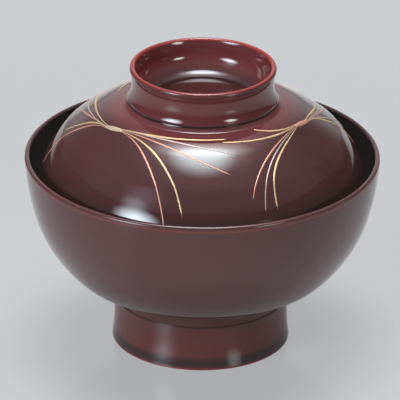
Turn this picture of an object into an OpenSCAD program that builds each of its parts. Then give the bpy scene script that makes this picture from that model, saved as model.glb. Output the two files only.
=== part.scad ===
// Covered soup bowl of turned wood under translucent red-brown lacquer.
// The bowl stands on a turned foot. The lid sits inside the lip and carries a
// grip ring. Three sprays of pine needles lie on the lid as raised metal lines.
// Z is up and the foot stands on Z = 0. Turns are degrees from the front, the
// -Y side, towards +X. A lean is degrees from the vertical.

/* [Bowl] */
// Diameter of the bowl across the outside of its lip
bowl_d = 121; // [114:0.5:128]
// Height of the lip above the table
bowl_h = 67.4; // [63:0.2:72]
// Thickness of the rounded lip
lip_t = 1.9; // [1.4:0.1:2.4]
// Radius of the long curve under the lip
wall_r = 83.4; // [70:0.2:100]
// Radius of the full curve below it
belly_r = 45.1; // [42:0.1:48]
// Radius of the turn into the flat underside
turn_r = 6; // [4:0.5:9]
// Radius of the long curve inside the lip
inside_wall_r = 72; // [66:0.5:84]
// Radius of the full curve inside
inside_belly_r = 38; // [35:0.5:40]
// Radius of the curve between the inside wall and the inside floor
inside_turn_r = 18; // [14:0.5:22]
// Thickness of the wood in the middle of the floor
floor_t = 8.4; // [6:0.2:10]

/* [Foot] */
// Diameter of the straight part of the foot
foot_d = 59.3; // [54:0.1:64]
// Radius of the flare down to the table
flare_r = 60; // [45:1:90]
// Height over which the foot flares
flare_h = 9.5; // [6:0.5:12]
// Radius of the hollow between the foot and the underside
cove_r = 8; // [6:0.5:9]
// Width of the fine ledge where the hollow meets the foot
ledge_w = 0.25; // [0.1:0.05:0.5]
// Thickness of the foot wall at the table
foot_t = 2.2; // [1.8:0.1:3.2]
// Radius of the corner inside the foot
foot_fillet_r = 3; // [1.5:0.5:5]
// Radius of the edges that stand on the table
foot_edge_r = 0.4; // [0.2:0.05:0.6]

/* [Lid] */
// Depth of the lid's seat below the top of the bowl's lip
seat_depth = 11.9; // [9:0.1:14]
// Running gap between the lid's edge and the bowl's wall
seat_gap = 0.25; // [0.15:0.05:0.4]
// Thickness of the lid's rounded edge
edge_t = 1.8; // [1.4:0.1:2.4]
// Radius of the lid's steep side
side_r = 41.6; // [38:0.2:46]
// Radius of the soft shoulder
shoulder_r = 7.4; // [5:0.2:11]
// Radius of the hollow in which the flatter crown rises to the ring
root_r = 3.2; // [2.4:0.1:4]
// Radius inside the lid's steep side
inside_side_r = 39.6; // [37:0.2:41]
// Radius inside the shoulder
inside_shoulder_r = 5.4; // [4:0.2:8]
// Diameter of the nearly flat ceiling inside the lid
ceiling_d = 40; // [30:1:44]
// Thickness of the lid under the ring's floor
lid_floor_t = 2.9; // [2.4:0.1:3.6]

/* [Ring] */
// Diameter of the grip ring across its lip
ring_d = 49.9; // [46:0.1:54]
// Height of the ring above the crease at its base
ring_h = 11.9; // [10:0.1:14]
// Thickness of the ring's rounded lip
ring_lip_t = 2; // [1.6:0.1:2.6]
// Height of the ring's waist above the crease
waist_h = 5.6; // [5:0.1:6.4]
// Depth of the waist behind the ring's lip
waist_depth = 0.7; // [0.4:0.05:1]
// Radius of the flare between the waist and the ring's base
skirt_r = 10; // [9:0.1:11]
// Radius of the edge round the ring's base
base_edge_r = 0.3; // [0.2:0.05:0.4]
// Distance from the ring's lip out to the crease at its base
crease_reach = 0.35; // [0.35:0.05:1]
// Radius of the corner inside the ring
ring_fillet_r = 3.2; // [1.5:0.1:4]

/* [Lacquer] */
// Thickness of the black coat inside the bowl and the lid
coat_t = 0.3; // [0.2:0.05:0.5]

/* [Pine needles] */
// Full width of a gold needle
needle_w = 0.8; // [0.5:0.05:1.2]
// Height of a needle above the lid
needle_rise = 0.14; // [0.08:0.01:0.25]
// Depth of a needle in the lacquer
needle_sink = 0.2; // [0.15:0.01:0.3]
// Distance between neighbouring needles where they leave the tie
needle_pitch = 0.24; // [0.2:0.02:0.5]
// Width of the tie round a spray
tie_w = 1.9; // [1.4:0.1:2.6]
// Height of the tie above the lid
tie_rise = 0.3; // [0.2:0.02:0.5]
// Half the turn that a tie covers
tie_turn = 6.2; // [4:0.2:8]

/* [Hidden] */

facets = 144;
arc_step = 3;
edge_steps = 8;
needle_steps = 10;

brown_lacquer = [0.36, 0.17, 0.17];
black_lacquer = [0.09, 0.09, 0.08];
gold_colour = [0.84, 0.70, 0.44];
silver_colour = [0.80, 0.77, 0.74];
red_gold_colour = [0.83, 0.47, 0.36];
pale_gold_colour = [0.80, 0.71, 0.55];

// Leans of the bowl's wall at the lip, the ends of its two curves and the underside
lip_lean = 3;
wall_lean = 16.4;
belly_lean = 47.5;
under_lean = 74;
inside_belly_lean = 50;
inside_turn_lean = 78;
flat_lean = 90;

// Leans of the lid's side at its edge and at the ends of its curves up to the crease
edge_lean = 12;
side_lean = 41.2;
shoulder_lean = 52.2;
crown_lean = 57.4;
root_lean = 77;
crease_lean = 25;
ceiling_lean = 86;
ring_inside_lean = 8;
skirt_lean = 27;
base_edge_lean = 60;
foot_inside_lean = 3;

// Share of the way from the hollow at the ring to the shoulder that the crown takes
crown_share = 0.51;

// The point at a given turn about a centre, in the plane of an outline
function polar(centre, r, a) = centre + r * [cos(a), sin(a)];

// Points along an arc about a centre, ends included
function arc(centre, r, from, to, steps) =
    [for (i = [0 : steps]) polar(centre, r, from + (to - from) * i / steps)];

// The end of a curve that runs inward from p while its lean grows from a to b
function curve_end(p, a, b, r, way) =
    [p[0] - r * (cos(a) - cos(b)), p[1] + way * r * (sin(b) - sin(a))];

// Points along that curve, without its start
function curve(p, a, b, r, way) =
    let (steps = max(1, ceil(abs(b - a) / arc_step)))
    [for (i = [1 : steps]) curve_end(p, a, a + (b - a) * i / steps, r, way)];

// Points along a run of curves, each given by the lean at its end and its radius.
// A hollow curve has a radius below zero, and the lean falls along it.
function run(p, a, spans, way, i = 0) =
    i == len(spans) ? [] :
    let (b = spans[i][0], r = spans[i][1])
    concat(curve(p, a, b, r, way), run(curve_end(p, a, b, r, way), b, spans, way, i + 1));

// The same points with the last one set on the axis
function on_axis(points) =
    let (n = len(points) - 1)
    [for (i = [0 : n]) i == n ? [0, points[i][1]] : points[i]];

function reversed(points) = [for (i = [len(points) - 1 : -1 : 0]) points[i]];

// Outside of the bowl, from the lip down to the underside
lip_r = lip_t / 2;
lip_centre = [bowl_d / 2 - lip_r, bowl_h - lip_r];
wall_start = polar(lip_centre, lip_r, -lip_lean);
wall_points = concat([wall_start],
    run(wall_start, lip_lean, [[wall_lean, wall_r], [belly_lean, belly_r], [under_lean, turn_r]], -1));
under_end = wall_points[len(wall_points) - 1];

// Hollow between the underside and the foot
foot_r = foot_d / 2;
cove_foot_r = foot_r - ledge_w;
cove_top_r = cove_foot_r + cove_r * (1 - cos(under_lean));
cove_top_z = under_end[1] - (under_end[0] - cove_top_r) / tan(under_lean);
foot_top_z = cove_top_z - cove_r * sin(under_lean);
cove_points = arc([cove_foot_r + cove_r, foot_top_z], cove_r, 180, 180 - under_lean, edge_steps);

// Foot wall, from the ledge down to the table
flare_turn = asin((flare_h - foot_edge_r) / flare_r);
flare_points = arc([foot_r + flare_r, flare_h], flare_r, 180, 180 + flare_turn, edge_steps);
foot_out_r = foot_r + flare_r * (1 - cos(flare_turn));
foot_in_r = foot_out_r - foot_t;
foot_edge_points = concat(
    arc([foot_out_r - foot_edge_r, foot_edge_r], foot_edge_r, 0, -90, edge_steps),
    arc([foot_in_r + foot_edge_r, foot_edge_r], foot_edge_r, -90, -180, edge_steps));

// Inside of the bowl, as the black coat shows it, and the wood under the coat
inside_start = [bowl_d / 2 - lip_t, bowl_h - lip_r];
inside_spans = [[wall_lean, inside_wall_r], [inside_belly_lean, inside_belly_r],
    [inside_turn_lean, inside_turn_r]];
inside_part = run(inside_start, lip_lean, inside_spans, -1);
inside_corner = inside_part[len(inside_part) - 1];
inside_floor_r = inside_corner[0] / cos(inside_turn_lean);
function bowl_inside(grown) =
    let (p = inside_start + grown * [cos(lip_lean), -sin(lip_lean)])
    let (spans = concat(inside_spans, [[flat_lean, inside_floor_r]]))
    concat([p], on_axis(run(p, lip_lean, [for (s = spans) [s[0], s[1] + grown]], -1)));
inside_points = bowl_inside(0);
wood_points = bowl_inside(coat_t);
inside_floor_z = inside_points[len(inside_points) - 1][1];

// Hollow under the foot
hollow_z = inside_floor_z - floor_t;
hollow_r = foot_in_r - (hollow_z - foot_edge_r) * tan(foot_inside_lean);
hollow_points = arc([hollow_r - foot_fillet_r, hollow_z - foot_fillet_r], foot_fillet_r,
    -foot_inside_lean, 90, edge_steps);

// Seat of the lid on the inside of the bowl
seat_z = bowl_h - seat_depth;
seat_lean = asin(sin(lip_lean) + (inside_start[1] - seat_z) / inside_wall_r);
seat_r = inside_start[0] - inside_wall_r * (cos(lip_lean) - cos(seat_lean));

// Outside of the lid: side, shoulder, dome, crown and the hollow up to the crease
edge_r = edge_t / 2;
edge_centre = [seat_r, seat_z] + (edge_r + seat_gap) * [-cos(seat_lean), sin(seat_lean)];
side_start = polar(edge_centre, edge_r, edge_lean);
shoulder_start = curve_end(side_start, edge_lean, side_lean, side_r, 1);
dome_start = curve_end(shoulder_start, side_lean, shoulder_lean, shoulder_r, 1);
crease_r = ring_d / 2 + crease_reach;
root_start_r = crease_r + root_r * (cos(crease_lean) - cos(root_lean));
crown_start_r = root_start_r + (dome_start[0] - root_start_r) * crown_share;
crown_r = (crown_start_r - root_start_r) / (cos(crown_lean) - cos(root_lean));
dome_r = (dome_start[0] - crown_start_r) / (cos(shoulder_lean) - cos(crown_lean));
crown_start = curve_end(dome_start, shoulder_lean, crown_lean, dome_r, 1);
dome_points = concat([side_start],
    run(side_start, edge_lean, [[side_lean, side_r], [shoulder_lean, shoulder_r],
        [crown_lean, dome_r], [root_lean, crown_r], [crease_lean, -root_r]], 1));
crease = dome_points[len(dome_points) - 1];

// Inside of the lid, as the black coat shows it, and the wood under the coat
under_start = polar(edge_centre, edge_r, 180 + edge_lean);
under_shoulder = curve_end(curve_end(under_start, edge_lean, side_lean, inside_side_r, 1),
    side_lean, shoulder_lean, inside_shoulder_r, 1);
ceiling_r = ceiling_d / 2;
under_dome_r = (under_shoulder[0] - ceiling_r) / (cos(shoulder_lean) - cos(ceiling_lean));
under_spans = [[side_lean, inside_side_r], [shoulder_lean, inside_shoulder_r],
    [ceiling_lean, under_dome_r], [flat_lean, ceiling_r / cos(ceiling_lean)]];
function lid_inside(grown) =
    let (p = polar(under_start, grown, edge_lean))
    concat([p], on_axis(run(p, edge_lean, [for (s = under_spans) [s[0], s[1] + grown]], 1)));
under_points = lid_inside(0);
lid_wood_points = lid_inside(coat_t);
ceiling_z = under_points[len(under_points) - 1][1];

// Grip ring: flared skirt with its rounded base edge, waist, rounded lip and the floor inside
waist = [ring_d / 2 - waist_depth, crease[1] + waist_h];
skirt_centre = waist + [skirt_r, 0];
base_edge_centre = polar(skirt_centre, skirt_r + base_edge_r, 180 + skirt_lean);
base_edge_points = arc(base_edge_centre, base_edge_r, -base_edge_lean, skirt_lean, edge_steps);
skirt_points = arc(skirt_centre, skirt_r, 180 + skirt_lean, 180, edge_steps);
ring_top_z = crease[1] + ring_h;
ring_lip_r = ring_lip_t / 2;
ring_lip_centre = [ring_d / 2 - ring_lip_r, ring_top_z - ring_lip_r];
ring_rise = ring_lip_centre[1] - waist[1];
ring_lean = 2 * atan(waist_depth / ring_rise);
neck_r = ring_rise / sin(ring_lean) - ring_lip_r;
neck_points = arc(waist + [neck_r, 0], neck_r, 180, 180 - ring_lean, edge_steps);
ring_lip_points = arc(ring_lip_centre, ring_lip_r, -ring_lean, 180 - ring_inside_lean,
    2 * edge_steps);
ring_floor_z = ceiling_z + lid_floor_t;
ring_lip_end = ring_lip_points[len(ring_lip_points) - 1];
ring_corner_z = ring_floor_z + ring_fillet_r;
ring_foot_z = ring_corner_z - ring_fillet_r * sin(ring_inside_lean);
ring_foot_r = ring_lip_end[0] - (ring_lip_end[1] - ring_foot_z) * tan(ring_inside_lean);
ring_corner = [ring_foot_r - ring_fillet_r * cos(ring_inside_lean), ring_corner_z];
ring_floor_points = arc(ring_corner, ring_fillet_r, -ring_inside_lean, -90, edge_steps);

// Lean and height of the lid's outside at a distance r from the axis, out from the hollow
function dome_lean_at(r) =
    r >= shoulder_start[0] ? acos(cos(edge_lean) - (side_start[0] - r) / side_r) :
    r >= dome_start[0] ? acos(cos(side_lean) - (shoulder_start[0] - r) / shoulder_r) :
    r >= crown_start[0] ? acos(cos(shoulder_lean) - (dome_start[0] - r) / dome_r) :
    acos(cos(crown_lean) - (crown_start[0] - r) / crown_r);
function dome_z_at(r) =
    let (b = dome_lean_at(r))
    r >= shoulder_start[0] ? side_start[1] + side_r * (sin(b) - sin(edge_lean)) :
    r >= dome_start[0] ? shoulder_start[1] + shoulder_r * (sin(b) - sin(side_lean)) :
    r >= crown_start[0] ? dome_start[1] + dome_r * (sin(b) - sin(shoulder_lean)) :
    crown_start[1] + crown_r * (sin(b) - sin(crown_lean));

// Metals of the needles, with the width of each as a share of a gold one
gold = 0;
silver = 1;
red_gold = 2;
width_shares = [1, 0.72, 0.85];
metal_colours = [gold_colour, silver_colour, red_gold_colour];

// Turns of the three ties, and the reaches of each tie's front end and far end.
// A reach is a share of the way from the crease to the lid's edge.
left_turn = -60;
right_turn = 73;
back_turn = 187;
left_tie_shares = [0.255, 0.315];
right_tie_shares = [0.275, 0.335];
back_tie_shares = [0.27, 0.335];

// Needles on each side of a tie, from the ring outward: metal, turn and reach
// of the bend, turn and reach of the tip. The turns are counted from the tie.
left_front_shares = [
    [gold, 28, 0.125, 76.5, 0.145],
    [silver, 41, 0.085, 78, 0.36],
    [red_gold, 37.5, 0.13, 73, 0.555],
    [gold, 41, 0.2, 53, 0.865],
    [red_gold, 33, 0.245, 47, 0.93]
];
left_far_shares = [
    [gold, 50.5, 0.335, 61, 0.545],
    [silver, 50, 0.435, 61.5, 0.645],
    [red_gold, 40, 0.395, 57, 0.76],
    [gold, 22, 0.33, 30, 0.675],
    [red_gold, 24, 0.365, 28, 0.93]
];
right_front_shares = [
    [gold, 23, 0.235, 35, 0.08],
    [gold, 19, 0.27, 61, 0.185],
    [red_gold, 43, 0.285, 53, 0.78],
    [silver, 43, 0.32, 49, 0.86],
    [gold, 43, 0.39, 44, 0.855]
];
right_far_shares = [
    [gold, 16, 0.315, 40, 0.515],
    [silver, 28, 0.41, 57, 0.74],
    [red_gold, 31, 0.435, 50, 0.81],
    [silver, 19, 0.35, 36, 0.82],
    [gold, 21, 0.365, 28, 0.87]
];

// Sprays: turn of the tie, side of the tie that is the front one, reaches, needles
left = [left_turn, 1, left_tie_shares, left_front_shares, left_far_shares];
right = [right_turn, -1, right_tie_shares, right_front_shares, right_far_shares];
back = [back_turn, 1, back_tie_shares, right_front_shares, left_far_shares];

function mix(a, b, t) = a + (b - a) * t;
function bend(a, b, c, t) = mix(mix(a, b, t), mix(b, c, t), t);

// Distance from the axis for a reach
function reach_r(share) = mix(crease_r, side_start[0], share);

// The lid's surface at a turn and a distance from the axis, and its outward normal
function on_lid(turn, r) = [r * sin(turn), -r * cos(turn), dome_z_at(r)];
function lid_normal(turn, r) =
    let (b = dome_lean_at(r)) [cos(b) * sin(turn), -cos(b) * cos(turn), sin(b)];

// One ring of the line's section: sunk foot and narrower top
top_share = 0.5;
function section(p, along, up, half, rise) =
    let (side = cross(up, along) / norm(cross(up, along)))
    [p - side * half - up * needle_sink, p + side * half - up * needle_sink,
     p + side * half * top_share + up * rise, p - side * half * top_share + up * rise];

// A raised line over the lid along [turn, distance] places, with its half widths
module raised_line(places, halves, rise) {
    last = len(places) - 1;
    points = [for (q = places) on_lid(q[0], q[1])];
    rings = [for (i = [0 : last])
        let (along = points[min(i + 1, last)] - points[max(i - 1, 0)])
        each section(points[i], along, lid_normal(places[i][0], places[i][1]), halves[i], rise)];
    walls = [for (i = [0 : last - 1], k = [0 : 3])
        let (a = 4 * i + k, b = 4 * i + (k + 1) % 4)
        each [[a, b, b + 4], [a, b + 4, a + 4]]];
    caps = [[2, 1, 0], [3, 2, 0],
        [4 * last, 4 * last + 1, 4 * last + 2], [4 * last, 4 * last + 2, 4 * last + 3]];
    polyhedron(rings, concat(walls, caps));
}

// Shares of the full width along a needle: narrow at the tie, blunt at the tip
start_share = 0.28;
tip_share = 0.55;
function needle_share(t) = t < 0.5 ? mix(start_share, 1, 2 * t) : mix(1, tip_share, 2 * t - 1);

// The needles start under the tie, at a share of its half turn
tuck_share = 0.9;

// The needles of one metal on one side of a tie
module fan(turn, way, reach, rows, metal) {
    for (i = [0 : len(rows) - 1])
        if (rows[i][0] == metal) {
            row = rows[i];
            lane = (i - (len(rows) - 1) / 2) * needle_pitch;
            start = [turn + way * tie_turn * tuck_share, reach_r(reach) + lane];
            knee = [turn + way * row[1], reach_r(row[2])];
            tip = [turn + way * row[3], reach_r(row[4])];
            ts = [for (k = [0 : needle_steps]) k / needle_steps];
            places = [for (t = ts) bend(start, knee, tip, t)];
            halves = [for (t = ts) needle_w / 2 * width_shares[metal] * needle_share(t)];
            raised_line(way > 0 ? places : reversed(places),
                way > 0 ? halves : reversed(halves), needle_rise);
        }
}

// The needles of one metal in a spray
module needles(spray, metal) {
    color(metal_colours[metal]) {
        fan(spray[0], spray[1], spray[2][0], spray[3], metal);
        fan(spray[0], -spray[1], spray[2][1], spray[4], metal);
    }
}

// The band that ties a spray, full in the middle and narrower at its ends
tie_end_share = 0.6;
module tie(spray, tint) {
    reaches = spray[1] > 0 ? reversed(spray[2]) : spray[2];
    ts = [for (k = [0 : needle_steps]) k / needle_steps];
    places = [for (t = ts)
        [spray[0] + mix(-tie_turn, tie_turn, t), reach_r(mix(reaches[0], reaches[1], t))]];
    halves = [for (t = ts) tie_w / 2 * mix(tie_end_share, 1, sin(180 * t))];
    color(tint) raised_line(places, halves, tie_rise);
}

// The turned bowl with its foot
module bowl() {
    color(brown_lacquer)
        rotate_extrude($fn = facets)
            polygon(concat([[0, hollow_z]], reversed(hollow_points), reversed(foot_edge_points),
                reversed(flare_points), [[foot_r, foot_top_z]], cove_points,
                reversed(wall_points), arc(lip_centre, lip_r, 0, 180, 2 * edge_steps),
                wood_points));
}

// The black coat inside the bowl
module bowl_lining() {
    color(black_lacquer)
        rotate_extrude($fn = facets)
            polygon(concat(inside_points, reversed(wood_points)));
}

// The turned lid with its grip ring
module lid() {
    color(brown_lacquer)
        rotate_extrude($fn = facets)
            polygon(concat(reversed(lid_wood_points),
                arc(edge_centre, edge_r, edge_lean - 180, edge_lean, 2 * edge_steps),
                dome_points, base_edge_points, skirt_points, neck_points, ring_lip_points,
                ring_floor_points, [[0, ring_floor_z]]));
}

// The black coat inside the lid
module lid_lining() {
    color(black_lacquer)
        rotate_extrude($fn = facets)
            polygon(concat(under_points, reversed(lid_wood_points)));
}

bowl();
bowl_lining();
lid();
lid_lining();
needles(left, gold);  // left_gold_needles
needles(left, silver);  // left_silver_needles
needles(left, red_gold);  // left_red_gold_needles
tie(left, pale_gold_colour);  // left_tie
needles(right, gold);  // right_gold_needles
needles(right, silver);  // right_silver_needles
needles(right, red_gold);  // right_red_gold_needles
tie(right, red_gold_colour);  // right_tie
needles(back, gold);  // back_gold_needles
needles(back, silver);  // back_silver_needles
needles(back, red_gold);  // back_red_gold_needles
tie(back, silver_colour);  // back_tie
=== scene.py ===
"""Scene of a covered soup bowl: turned wood under red-brown lacquer, with raised pine needles."""

import logging
import math
from dataclasses import dataclass, field
from enum import Enum

import bpy
from mathutils import Matrix, Vector


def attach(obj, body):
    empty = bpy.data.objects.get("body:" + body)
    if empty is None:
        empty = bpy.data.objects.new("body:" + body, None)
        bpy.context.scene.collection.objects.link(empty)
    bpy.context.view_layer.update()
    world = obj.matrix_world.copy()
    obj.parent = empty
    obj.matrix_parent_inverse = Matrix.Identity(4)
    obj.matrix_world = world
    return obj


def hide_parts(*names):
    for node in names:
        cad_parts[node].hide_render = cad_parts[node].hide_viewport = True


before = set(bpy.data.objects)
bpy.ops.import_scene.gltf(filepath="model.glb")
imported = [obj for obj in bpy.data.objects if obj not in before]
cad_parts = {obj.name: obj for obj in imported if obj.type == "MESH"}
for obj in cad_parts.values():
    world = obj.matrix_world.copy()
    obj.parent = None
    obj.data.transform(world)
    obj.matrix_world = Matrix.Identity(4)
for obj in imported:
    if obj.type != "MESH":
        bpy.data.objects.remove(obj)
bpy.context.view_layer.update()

LOG = logging.getLogger("soup_bowl")
MM = 0.001
Point = tuple[float, float]
Colour = tuple[float, float, float]


# ---- outlines -------------------------------------------------------------------------------

def polar(centre: Point, radius: float, turn: float) -> Point:
    """The point at a turn in degrees about a centre, in the plane of an outline."""
    return (centre[0] + radius * math.cos(math.radians(turn)),
            centre[1] + radius * math.sin(math.radians(turn)))


def arc(centre: Point, radius: float, start: float, end: float, step: float = 6.0) -> list[Point]:
    """Points along an arc, ends included.

    Args:
        centre: Centre of the arc, distance from the axis and height in mm.
        radius: Radius in mm.
        start: Turn of the first point in degrees.
        end: Turn of the last point in degrees.
        step: Largest turn between neighbouring points in degrees.

    Returns:
        The points from start to end.
    """
    count = max(2, math.ceil(abs(end - start) / step))
    return [polar(centre, radius, start + (end - start) * i / count) for i in range(count + 1)]


@dataclass(frozen=True)
class Sweep:
    """One curve of an outline: the lean of the wall at its end and its radius.

    A lean is degrees from the vertical. A radius below zero is a hollow curve.
    """

    lean: float
    radius: float


def sweep_end(start: Point, lean: float, sweep: Sweep, way: int) -> Point:
    """The end of a curve that runs inward.

    Args:
        start: First point of the curve.
        lean: Lean of the wall at the start in degrees.
        sweep: The curve.
        way: 1 where the outline climbs, -1 where it falls.

    Returns:
        The last point of the curve.
    """
    a, b = math.radians(lean), math.radians(sweep.lean)
    return (start[0] - sweep.radius * (math.cos(a) - math.cos(b)),
            start[1] + way * sweep.radius * (math.sin(b) - math.sin(a)))


def run(start: Point, lean: float, sweeps: list[Sweep], way: int, step: float = 1.0) -> list[Point]:
    """Points along a run of curves that meet smoothly, start included.

    Args:
        start: First point.
        lean: Lean at the start in degrees.
        sweeps: The curves in order.
        way: 1 where the outline climbs, -1 where it falls.
        step: Largest change of lean between neighbouring points in degrees.

    Returns:
        All the points.
    """
    points = [start]
    for sweep in sweeps:
        first = points[-1]
        count = max(1, math.ceil(abs(sweep.lean - lean) / step))
        for i in range(1, count + 1):
            part = Sweep(lean + (sweep.lean - lean) * i / count, sweep.radius)
            points.append(sweep_end(first, lean, part, way))
        lean = sweep.lean
    return points


def line(start: Point, end: Point, step: float = 1.0) -> list[Point]:
    """Points along a straight stretch, ends included, at most step mm apart."""
    count = max(1, math.ceil(math.dist(start, end) / step))
    return [(start[0] + (end[0] - start[0]) * i / count,
             start[1] + (end[1] - start[1]) * i / count) for i in range(count + 1)]


def joined(*parts: list[Point]) -> list[Point]:
    """One outline from its parts, without points that fall on each other."""
    points: list[Point] = []
    for part in parts:
        for point in part:
            if not points or math.dist(points[-1], point) > 1e-5:
                points.append(point)
    return points


def turned(name: str, outline: list[Point], segments: int = 288, crease: float = 24.0) -> bpy.types.Object:
    """A turned piece: an outline swept once round the Z axis.

    Args:
        name: Name of the object.
        outline: Outline in mm, distance from the axis and height. It starts and ends on the axis.
        segments: Faces round the axis.
        crease: Turn between two stretches of outline above which the edge is sharp, in degrees.

    Returns:
        The object, at the origin of the frame.
    """
    area = sum(a[0] * b[1] - b[0] * a[1] for a, b in zip(outline, outline[1:] + outline[:1]))
    if area > 0:
        outline = outline[::-1]
    verts: list[tuple[float, float, float]] = []
    rings: list[list[int]] = []
    for i, (r, z) in enumerate(outline):
        first = len(verts)
        if i in (0, len(outline) - 1):
            verts.append((0.0, 0.0, z * MM))
        else:
            verts += [(r * MM * math.sin(math.tau * k / segments),
                       -r * MM * math.cos(math.tau * k / segments), z * MM) for k in range(segments)]
        rings.append(list(range(first, len(verts))))
    faces: list[tuple[int, ...]] = []
    for low, high in zip(rings, rings[1:]):
        for k in range(segments):
            n = (k + 1) % segments
            if len(low) == 1:
                faces.append((low[0], high[k], high[n]))
            elif len(high) == 1:
                faces.append((low[k], high[0], low[n]))
            else:
                faces.append((low[k], high[k], high[n], low[n]))
    mesh = bpy.data.meshes.new(name)
    mesh.from_pydata(verts, [], faces)
    mesh.polygons.foreach_set("use_smooth", [True] * len(mesh.polygons))
    sharp: dict[int, int] = {}
    for i in range(1, len(outline) - 1):
        before, here, after = outline[i - 1:i + 2]
        a = math.atan2(here[1] - before[1], here[0] - before[0])
        b = math.atan2(after[1] - here[1], after[0] - here[0])
        if abs(math.degrees(math.remainder(b - a, math.tau))) > crease:
            sharp.update((vertex, i) for vertex in rings[i])
    if sharp:
        marks = mesh.attributes.new("sharp_edge", "BOOLEAN", "EDGE")
        marks.data.foreach_set("value", [
            sharp.get(edge.vertices[0], -1) == sharp.get(edge.vertices[1], -2) for edge in mesh.edges])
    mesh.update()
    piece = bpy.data.objects.new(name, mesh)
    bpy.context.scene.collection.objects.link(piece)
    return piece


# ---- finishes -------------------------------------------------------------------------------

def linear(colour: Colour) -> tuple[float, float, float, float]:
    """A screen colour from 0 to 1 as the linear colour that a shader takes."""
    return tuple(c / 12.92 if c <= 0.04045 else ((c + 0.055) / 1.055) ** 2.4 for c in colour) + (1.0,)


class Wiring:
    """Places nodes in a node tree and joins them."""

    def __init__(self, tree: bpy.types.NodeTree) -> None:
        """Takes the tree to work in."""
        self.tree = tree

    def node(self, kind: str, **settings: object) -> bpy.types.Node:
        """A new node.

        Args:
            kind: Blender's type of the node, without ShaderNode in front.
            settings: Its properties by name.

        Returns:
            The node.
        """
        made = self.tree.nodes.new("ShaderNode" + kind)
        for name, value in settings.items():
            setattr(made, name, value)
        return made

    def feed(self, target: bpy.types.NodeSocket, source: object) -> None:
        """Joins a socket to a target, or sets the target's value."""
        if isinstance(source, bpy.types.NodeSocket):
            self.tree.links.new(source, target)
        elif source is not None:
            target.default_value = source

    def math(self, operation: str, a: object, b: object = None, c: object = None, clamp: bool = False) -> bpy.types.NodeSocket:
        """The result of one calculation on sockets or numbers."""
        made = self.node("Math", operation=operation, use_clamp=clamp)
        for socket, source in zip(made.inputs, (a, b, c)):
            self.feed(socket, source)
        return made.outputs[0]

    def fade(self, value: object, low: object, high: object, to_low: object = 0.0, to_high: object = 1.0,
             smooth: bool = True) -> bpy.types.NodeSocket:
        """A value mapped from one range to another, smoothly and within its ends."""
        made = self.node("MapRange", interpolation_type="SMOOTHSTEP" if smooth else "LINEAR")
        for name, source in (("Value", value), ("From Min", low), ("From Max", high), ("To Min", to_low),
                             ("To Max", to_high)):
            self.feed(made.inputs[name], source)
        return made.outputs[0]

    def noise(self, place: object, scale: float, detail: float = 2.0, roughness: float = 0.5) -> bpy.types.NodeSocket:
        """Soft noise from 0 to 1 at a place, with scale in cycles per metre."""
        made = self.node("TexNoise")
        self.feed(made.inputs["Vector"], place)
        made.inputs["Scale"].default_value = scale
        made.inputs["Detail"].default_value = detail
        made.inputs["Roughness"].default_value = roughness
        return made.outputs[0]

    def blend(self, share: object, a: object, b: object, mode: str = "MIX") -> bpy.types.NodeSocket:
        """Two colours mixed by a share from 0 to 1."""
        made = self.node("Mix", data_type="RGBA", blend_type=mode)
        self.feed(made.inputs["Factor"], share)
        self.feed(made.inputs["A"], a)
        self.feed(made.inputs["B"], b)
        return made.outputs["Result"]


class EffectGroup:
    """A shader node group with named inputs and outputs, made once and placed in many materials."""

    name = ""
    inputs: dict[str, tuple[str, object]] = {}
    outputs: dict[str, str] = {}

    def tree(self) -> bpy.types.NodeTree:
        """The group's node tree, made on first use."""
        found = bpy.data.node_groups.get(self.name)
        if found:
            return found
        tree = bpy.data.node_groups.new(self.name, "ShaderNodeTree")
        for name, (kind, value) in self.inputs.items():
            socket = tree.interface.new_socket(name, in_out="INPUT", socket_type=kind)
            if value is not None:
                socket.default_value = value
        for name, kind in self.outputs.items():
            tree.interface.new_socket(name, in_out="OUTPUT", socket_type=kind)
        given = tree.nodes.new("NodeGroupInput")
        result = tree.nodes.new("NodeGroupOutput")
        self.wire(Wiring(tree), given.outputs, result.inputs)
        return tree

    def wire(self, w: Wiring, given: object, result: object) -> None:
        """Fills the group's tree between its given and resulting sockets."""
        raise NotImplementedError

    def place(self, w: Wiring, **values: object) -> object:
        """Places the group in a material.

        Args:
            w: The material's wiring.
            values: Numbers, colours or sockets by the inputs' names, with _ for a space.

        Returns:
            The outputs of the placed group.
        """
        made = w.node("Group")
        made.node_tree = self.tree()
        for name, value in values.items():
            w.feed(made.inputs[name.replace("_", " ")], value)
        return made.outputs


class LacquerTintAndShade(EffectGroup):
    """A mask that is 1 on a circle round the axis: where the lacquer thins over a turned edge, and where shade or a
    reflection is painted.
    """

    name = "lacquer_tint_and_shade"
    inputs = {"Radius": ("NodeSocketFloat", 0.05), "Height": ("NodeSocketFloat", 0.05),
              "Reach": ("NodeSocketFloat", 0.002), "Drift": ("NodeSocketFloat", 0.2)}
    outputs = {"Mask": "NodeSocketFloat"}

    def wire(self, w: Wiring, given: object, result: object) -> None:
        """Measures the distance to the circle, with a little drift along it."""
        place = w.node("TexCoord").outputs["Object"]
        axes = w.node("SeparateXYZ")
        w.feed(axes.inputs[0], place)
        flat = w.node("CombineXYZ")
        w.feed(flat.inputs[0], axes.outputs[0])
        w.feed(flat.inputs[1], axes.outputs[1])
        length = w.node("VectorMath", operation="LENGTH")
        w.feed(length.inputs[0], flat.outputs[0])
        across = w.math("SUBTRACT", length.outputs["Value"], given["Radius"])
        up = w.math("SUBTRACT", axes.outputs[2], given["Height"])
        away = w.math("SQRT", w.math("ADD", w.math("MULTIPLY", across, across), w.math("MULTIPLY", up, up)))
        wander = w.math("SUBTRACT", w.noise(place, 90.0), 0.5)
        reach = w.math("MULTIPLY", given["Reach"], w.math("MULTIPLY_ADD", wander, given["Drift"], 1.0))
        w.feed(result["Mask"], w.fade(w.math("DIVIDE", away, reach), 0.1, 1.0, 1.0, 0.0))


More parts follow.
